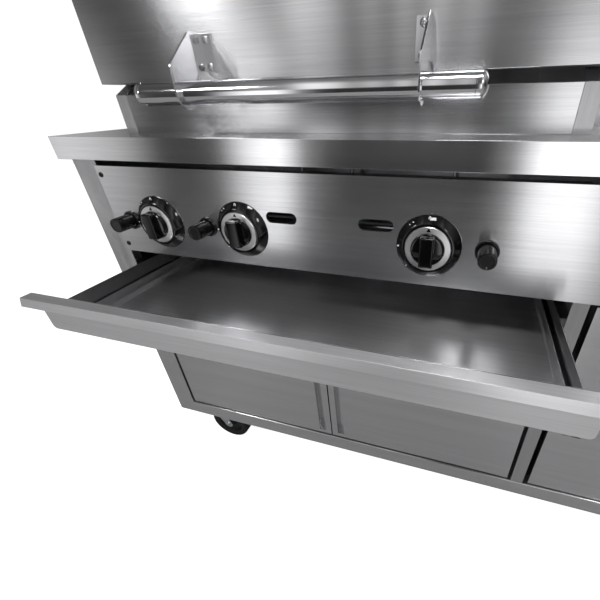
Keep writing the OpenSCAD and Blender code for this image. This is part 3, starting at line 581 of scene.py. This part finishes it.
class Knobs(bpy.types.Operator):
    """Makes the dials, rings and grips of the three gas knobs"""
    bl_idname = "broiler.knobs"
    bl_label = "Knobs"

    def execute(self, context):
        bezels, marks = [], []
        b_low, b_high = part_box("knob_bezels")
        outer = (b_high.z - b_low.z) / 2 / MM
        deep = (b_high.y - b_low.y) / MM
        for n in NUMBERS:
            low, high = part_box(f"knob_{n}")
            centre = (low + high) / 2
            ring_r = (high.z - low.z) / 2 / MM
            depth = (high.y - low.y) / MM - GRIP_STAND_OFF
            face = Vector((centre.x, b_high.y, centre.z))
            bezels.append(self.dial(face, ring_r + 1, outer, deep))
            marks += [self.mark(face, ring_r + 1, outer, deep, *mark) for mark in DIAL_MARKS]
            foot = Vector((centre.x, high.y, centre.z))
            self.ring(n, foot, ring_r, depth)
            self.grip(n, foot, low.y, depth, context.scene.broiler_sizes.grip_round)
            self.pointer(n, foot, ring_r, depth)
        place(join(bezels, "knob_dials"), "cabinet", "black_gloss", "black_gloss", ("knob_bezels",))
        place(join(marks, "knob_dial_marks"), "cabinet", "white_ink", "black_gloss")
        for n in NUMBERS:
            paint(frame["nodes"][f"valve_stem_{n}"], "stainless_rod")
        return {"FINISHED"}

    def dial(self, face, inner, outer, deep):
        """The fixed dial: a flat rim around the knob and a face that slopes to the panel."""
        return lathe([(inner, 0), (inner, deep - 0.6), (inner + 0.6, deep), (inner + 3.2, deep),
                      (inner + RIM_WIDTH, deep - RIM_DROP), (outer - FOOT_INSET, FOOT_HEIGHT), (outer, 1.6),
                      (outer, 0), (inner, 0)], face, -Y, 96)

    def mark(self, face, inner, outer, deep, angle, size, is_ring):
        """A printed mark lying on the slope of a dial."""
        slope = math.atan2(deep - RIM_DROP - FOOT_HEIGHT, outer - FOOT_INSET - inner - RIM_WIDTH)
        a = math.radians(angle)
        out = Vector((math.sin(a), 0, math.cos(a)))
        normal = (-Y * math.cos(slope) + out * math.sin(slope)).normalized()
        if is_ring:
            hole = size * 0.52
            mark = lathe([(hole, 0), (hole, MARK_HEIGHT), (size, MARK_HEIGHT), (size, 0), (hole, 0)],
                         (0, 0, 0), Z, 32)
        else:
            mark = lathe([(0, MARK_HEIGHT), (size * 0.75, MARK_HEIGHT), (size * 0.75, 0)], (0, 0, 0), Z, 16)
        turn = Matrix((out.cross(normal), out, normal)).transposed()
        mark.data.transform(turn.to_4x4() @ Matrix.Diagonal((0.8, 1.1, 1, 1)))
        radial = (inner + RIM_WIDTH + outer - FOOT_INSET) / 2
        mark.location = face + out * radial * MM - Y * ((deep - RIM_DROP + FOOT_HEIGHT) / 2 * MM)
        return mark

    def ring(self, n, foot, ring_r, depth):
        """The bright ring; it starts 0.3 mm out so that a pushed knob clears the panel."""
        inner, start = ring_r - RING_WIDTH, 0.3
        ring = lathe([(inner, start), (inner, depth - 0.2), (inner + 0.8, depth + 0.5),
                      (ring_r - 0.8, depth - 0.3), (ring_r, depth - 1.1), (ring_r, start), (inner, start)],
                     foot, -Y, 96)
        ring.name = f"knob_{n}_ring"
        place(ring, f"knob_{n}", "stainless_satin_ring", "stainless_bright")

    def grip(self, n, foot, front, depth, edge):
        """The black cup with its bar."""
        r = GRIP_RADIUS
        cup = lathe([(0, depth + 7.0), (r - 5, depth + 7.4), (r - 2.2, depth + 6.6), (r - 0.6, depth + 4.4),
                     (r, depth + 1.4), (r, 0.4), (0, 0.4)], foot, -Y, 64)
        half_x, half_z = GRIP_HALF_WIDTH * MM, (r - 2.4) * MM
        bar = rounded_block((foot.x - half_x, front, foot.z - half_z),
                            (foot.x + half_x, foot.y - 2 * MM, foot.z + half_z), edge, 4)
        place(join([cup, bar], f"knob_{n}_grip"), f"knob_{n}", "black_gloss", "black_gloss", (f"knob_{n}",))

    def pointer(self, n, foot, ring_r, depth):
        """The small triangle on the ring, pointing up."""
        deselect()
        bpy.ops.mesh.primitive_circle_add(vertices=3, radius=POINTER_RADIUS * MM, fill_type="NGON")
        arrow = bpy.context.object
        bpy.ops.object.mode_set(mode="EDIT")
        bpy.ops.mesh.select_all(action="SELECT")
        bpy.ops.mesh.extrude_region_move(TRANSFORM_OT_translate={"value": (0, 0, 0.3 * MM)})
        bpy.ops.mesh.select_all(action="SELECT")
        bpy.ops.mesh.normals_make_consistent(inside=False)
        bpy.ops.object.mode_set(mode="OBJECT")
        tip = max(arrow.data.vertices, key=lambda v: v.co.xy.length)
        spin = math.atan2(tip.co.x, tip.co.y)
        arrow.data.transform(Matrix(((1, 0, 0), (0, 0, -1), (0, 1, 0))).to_4x4() @ Matrix.Rotation(spin, 4, "Z"))
        arrow.location = (foot.x, foot.y - (depth + 0.05) * MM, foot.z + (ring_r - 5.6) * MM)
        place(settle(arrow, f"knob_{n}_pointer"), f"knob_{n}", "black_gloss")


class Igniters(bpy.types.Operator):
    """Makes the push igniters and their threaded barrels"""
    bl_idname = "broiler.igniters"
    bl_label = "Igniters"

    def execute(self, context):
        collars = []
        barrel_length = 44  # millimetres behind the panel
        panel_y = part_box("control_panel")[0].y
        for n in NUMBERS:
            low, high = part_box(f"igniter_button_{n}")
            centre = (low + high) / 2
            r = (high.z - low.z) / 2 / MM
            length = (high.y - low.y) / MM
            button = lathe([(0, length - 1.2), (r - 4.6, length - 1.1), (r - 4.0, length - 0.5),
                            (r - 1.6, length - 0.2), (r - 0.6, length - 0.6), (r, length - 1.8), (r, 0.6),
                            (r - 0.6, 0), (0, 0)], (centre.x, high.y, centre.z), -Y, 64)
            button.name = f"igniter_{n}_button"
            place(button, f"igniter_{n}", "black_plastic", "black_plastic", (f"igniter_button_{n}",))
            bore = r + 0.4
            collars.append(lathe([(bore, -30), (bore, 3.2), (r + 1.2, 4.0), (r + 3.6, 4.0), (r + 4.5, 3.0),
                                  (r + 4.5, 0), (r + 2.5, 0), (r + 2.5, -barrel_length), (bore, -barrel_length),
                                  (bore, -30)], (centre.x, panel_y, centre.z), -Y, 64))
            collars.append(prism((r + 9) * MM, 3.5 * MM, 6, (centre.x, panel_y + 4.2 * MM, centre.z), Y))
        place(join(collars, "igniter_barrels_threaded"), "cabinet", "black_plastic", "black_plastic",
              ("igniter_barrels",))
        return {"FINISHED"}


class Fasteners(bpy.types.Operator):
    """Sets screws in the panel, the drive housing and the hinges"""
    bl_idname = "broiler.fasteners"
    bl_label = "Fasteners"

    def execute(self, context):
        r = context.scene.broiler_sizes.screw_radius
        in_x, in_z = 9 * MM, 17 * MM
        low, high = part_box("control_panel")
        screws = [domed_screw((x, low.y, z), -Y, r) for x in (low.x + in_x, high.x - in_x)
                  for z in (low.z + in_z, high.z - in_z)]
        place(join(screws, "panel_screws"), "cabinet", "black_plastic", "black_plastic")
        in_y, in_z = 15 * MM, 30 * MM
        low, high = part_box("drive_housing")
        sides = [domed_screw((high.x, y, z), X, r) for y in (low.y + in_y, high.y - in_y)
                 for z in (low.z + in_z, (low.z + high.z) / 2, high.z - in_z)]
        near, far, leaf = 12 * MM, 48 * MM, 4 * MM
        low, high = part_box("hood_hinges")
        leaf_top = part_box("chamber_roof")[1].z + leaf
        for x in (low.x + near, low.x + far, high.x - far, high.x - near):
            sides.append(domed_screw((x, high.y - 14 * MM, leaf_top), Z, r))
        place(join(sides, "housing_screws"), "cabinet", "stainless_rod", "stainless_rod")
        return {"FINISHED"}


class Castors(bpy.types.Operator):
    """Makes the wheels, forks and top plates"""
    bl_idname = "broiler.castors"
    bl_label = "Castors"

    def execute(self, context):
        for node in ("wheel_front_left", "wheel_front_right", "wheel_rear_left", "wheel_rear_right"):
            low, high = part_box(node)
            centre = (low + high) / 2
            axis = Y if high.y - low.y < high.x - low.x else X
            r = (high.z - low.z) / 2 / MM
            w = min(high.y - low.y, high.x - low.x) / 2 / MM
            tread = r - 15
            half = [(tread, w - 2.2), (tread + 2, w - 0.6), (r - 5, w), (r - 1.4, w - 1.6), (r, w - 5.5)]
            tyre = lathe(half + [(x, -y) for x, y in reversed(half)] + half[:1], centre, axis, 72)
            tyre.name = node + "_tyre"
            place(tyre, BODY_OF[node], "wheel_rubber", "wheel_rubber", (node,))
            bore = 5.1
            half = [(bore, w - 0.2), (15, w - 0.2), (17.5, w - 2), (19, 6), (tread - 7, 5), (tread - 4, w - 3),
                    (tread, w - 2.4)]
            hub = lathe(half + [(x, -y) for x, y in reversed(half)] + half[:1], centre, axis, 48)
            hub.name = node + "_hub"
            place(hub, BODY_OF[node], "wheel_nylon", "wheel_rubber")
        for node in ("castor_fork_left", "castor_fork_right", "castor_plates"):
            piece = folded_copy(node, node + "_pressed", 0.35 * MM)
            place(piece, BODY_OF[node], "zinc_plate", "zinc_plate", (node,))
        return {"FINISHED"}


class CookingGear(bpy.types.Operator):
    """Finishes the burners, spits, forks, drive, gas lines, hinges and window"""
    bl_idname = "broiler.cooking_gear"
    bl_label = "Cooking gear"

    def execute(self, context):
        for n in NUMBERS:
            for node, name, width in ((f"spit_{n}", f"spit_{n}_bar", 0.5),
                                      (f"spit_forks_{n}", f"spit_{n}_forks", 0.4)):
                piece = folded_copy(node, name, width * MM)
                place(piece, f"spit_{n}", "stainless_rod", "stainless_rod", (node,))
        table = {"burner_frames": "burner_steel", "burner_tiles": "ceramic_tile", "gas_pipework": "zinc_plate",
                 "gas_valves": "brass", "spit_bearings": "bronze_bush", "gearmotor": "motor_paint",
                 "drive_chain": "chain_steel", "motor_sprocket": "chain_steel", "hood_hinges": "stainless_rod",
                 "door_pivots": "stainless_rod", "door_glass": "window_glass"}
        for node, material in table.items():
            paint(frame["nodes"][node], material)
        return {"FINISHED"}


# ---------------------------------------------------------------- stage
# Brightness of the room against how far a direction leans to the right, below and above the horizon
LOW_ROOM = [(-1.0, 0.04), (-0.88, 0.15), (-0.83, 1.1), (-0.77, 0.7), (-0.72, 0.06), (-0.62, 0.05), (-0.56, 1.5),
            (-0.50, 2.0), (-0.44, 0.25), (-0.38, 0.03), (0.03, 0.04), (0.10, 0.35), (0.17, 2.2), (0.27, 2.4),
            (0.36, 0.3), (0.46, 0.06), (0.62, 0.9), (0.74, 0.15), (1.0, 0.04)]
HIGH_ROOM = [(-1.0, 0.04), (-0.80, 0.30), (-0.74, 0.08), (-0.60, 0.10), (-0.53, 0.45), (-0.47, 0.20), (-0.42, 1.5),
             (-0.36, 1.1), (-0.31, 0.20), (-0.265, 0.9), (-0.23, 0.15), (-0.195, 1.1), (-0.16, 0.2), (-0.12, 1.3),
             (-0.08, 0.2), (-0.045, 0.9), (0.0, 0.10), (0.09, 0.12), (0.20, 0.3), (0.32, 0.7), (0.42, 1.4),
             (0.52, 0.4), (0.72, 0.6), (1.0, 0.04)]


def lamp(name, width, height, location, target, power):
    data = bpy.data.lights.new(name, "AREA")
    data.shape = "RECTANGLE"
    data.size, data.size_y = width, height
    data.energy = power
    o = bpy.data.objects.new(name, data)
    bpy.context.scene.collection.objects.link(o)
    o.location = location
    o.rotation_mode = "QUATERNION"
    o.rotation_quaternion = (Vector(target) - Vector(location)).to_track_quat("-Z", "Y")


class Stage(bpy.types.Operator):
    """Sets the floor, the soft lights and the camera"""
    bl_idname = "broiler.stage"
    bl_label = "Stage"

    def execute(self, context):
        deselect()
        width, length, centre_y = 14, 7.4, 1.9
        bpy.ops.mesh.primitive_plane_add(size=1, location=(0, centre_y, 0))
        floor = bpy.context.object
        floor.scale = (width, length, 1)
        settle(floor, "studio_floor")
        material, tree = new_material("studio_floor")
        base = context.scene.broiler_colours.floor
        pale = ramp(tree, noise(tree, 2.0, 3.0), [(0.2, shade(base, 0.985)), (0.8, list(base))])
        shaded = add(tree, "BsdfPrincipled", {"Roughness": 0.8, "Base Color": grey(0.5)})
        bright = add(tree, "BsdfPrincipled",
                     {"Roughness": 0.8, "Emission Color": grey(1.0), "Emission Strength": 0.9}, Base_Color=pale)
        path = add(tree, "LightPath")
        finish_material(tree, add(tree, "MixShader", Fac=path.outputs["Is Camera Ray"], i1=shaded.outputs[0],
                                  i2=bright.outputs[0]))
        floor.data.materials.append(material)
        self.surroundings(context)

        lamp("softbox_left", 0.4, 0.6, (-1.9, -2.0, 2.2), (-0.3, -0.3, 0.8), 12)
        lamp("softbox_right", 0.3, 0.5, (1.5, -2.3, 1.9), (0.0, -0.3, 0.8), 7)
        lamp("overhead", 0.7, 0.5, (0.1, -1.3, 3.2), (0.0, -0.6, 0.0), 26)
        self.camera(context)
        return {"FINISHED"}

    def surroundings(self, context):
        """A dim room with tall windows, which steel shows as upright streaks; white where the camera sees it."""
        world = bpy.data.worlds.new("studio")
        context.scene.world = world
        world.use_nodes = True
        tree = world.node_tree
        tree.nodes.clear()
        coords = add(tree, "TexCoord").outputs["Generated"]
        split = add(tree, "SeparateXYZ", Vector=coords)
        lean = add(tree, "Math", {"operation": "MULTIPLY_ADD", 1: 0.5, 2: 0.5}, i0=split.outputs["X"]).outputs[0]
        low = ramp(tree, lean, [(0.5 + x / 2, grey(v)) for x, v in LOW_ROOM])
        high = ramp(tree, lean, [(0.5 + x / 2, grey(v)) for x, v in HIGH_ROOM])
        rise = add(tree, "MapRange", {"interpolation_type": "SMOOTHSTEP", "From Min": -0.03, "From Max": 0.16},
                   Value=split.outputs["Z"])
        walls = add(tree, "Mix", {"data_type": "RGBA"}, i0=rise.outputs["Result"], i6=low, i7=high)
        ceiling = add(tree, "MapRange", {"interpolation_type": "SMOOTHSTEP", "From Min": 0.62, "From Max": 0.95},
                      Value=split.outputs["Z"])
        room = add(tree, "Mix", {"data_type": "RGBA", 7: grey(0.2)}, i0=ceiling.outputs["Result"],
                   i6=walls.outputs[2])
        lit = add(tree, "Background", {"Strength": 1.0}, Color=room.outputs[2])
        seen = add(tree, "Background", {"Color": grey(1.0), "Strength": 1.05})
        path = add(tree, "LightPath")
        mixed = add(tree, "MixShader", Fac=path.outputs["Is Camera Ray"], i1=lit.outputs[0], i2=seen.outputs[0])
        add(tree, "OutputWorld", Surface=mixed.outputs[0])
        context.scene.view_settings.view_transform = "Standard"

    def camera(self, context):
        camera = bpy.data.cameras.new("camera")
        camera.sensor_width = 36
        camera.lens = 20.2
        camera.shift_x = -0.110
        camera.shift_y = 0.0038
        o = bpy.data.objects.new("camera", camera)
        context.scene.collection.objects.link(o)
        right, back = Vector((0.9584, 0.2847, -0.0202)).normalized(), Vector((0.253, -0.8148, 0.5216))
        back = (back - right * back.dot(right)).normalized()
        up = back.cross(right)
        turn = Matrix((right, up, back)).transposed().to_4x4()
        right_of_bay, before_front, height = 0.2645, 0.520, 0.960
        bay, front = middle("drawer_box").x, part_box("side_panel_left")[0].y
        o.matrix_world = Matrix.Translation((bay + right_of_bay, front - before_front, height)) @ turn
        context.scene.camera = o


class BroilerPanel(bpy.types.Panel):
    """Lists the steps and sizes of the broiler"""
    bl_idname = "VIEW3D_PT_broiler"
    bl_label = "Broiler"
    bl_space_type = "VIEW_3D"
    bl_region_type = "UI"
    bl_category = "Broiler"

    def draw(self, context):
        for group in (context.scene.broiler_sizes, context.scene.broiler_colours):
            for key in group.__annotations__:
                self.layout.prop(group, key)
        for step in STEPS:
            self.layout.operator(step.bl_idname)


STEPS = (Stage, SheetMetal, Handle, Knobs, Igniters, Fasteners, Castors, CookingGear)
CLASSES = (BroilerSizes, BroilerColours, *STEPS, BroilerPanel)


def register():
    for c in CLASSES:
        bpy.utils.register_class(c)
    bpy.types.Scene.broiler_sizes = bpy.props.PointerProperty(type=BroilerSizes)
    bpy.types.Scene.broiler_colours = bpy.props.PointerProperty(type=BroilerColours)


def unregister():
    del bpy.types.Scene.broiler_sizes
    del bpy.types.Scene.broiler_colours
    for c in reversed(CLASSES):
        bpy.utils.unregister_class(c)


def main():
    register()
    make_materials()
    for step in STEPS:
        group, name = step.bl_idname.split(".")
        getattr(getattr(bpy.ops, group), name)()
    bpy.context.view_layer.update()


if __name__ == "__main__":
    main()
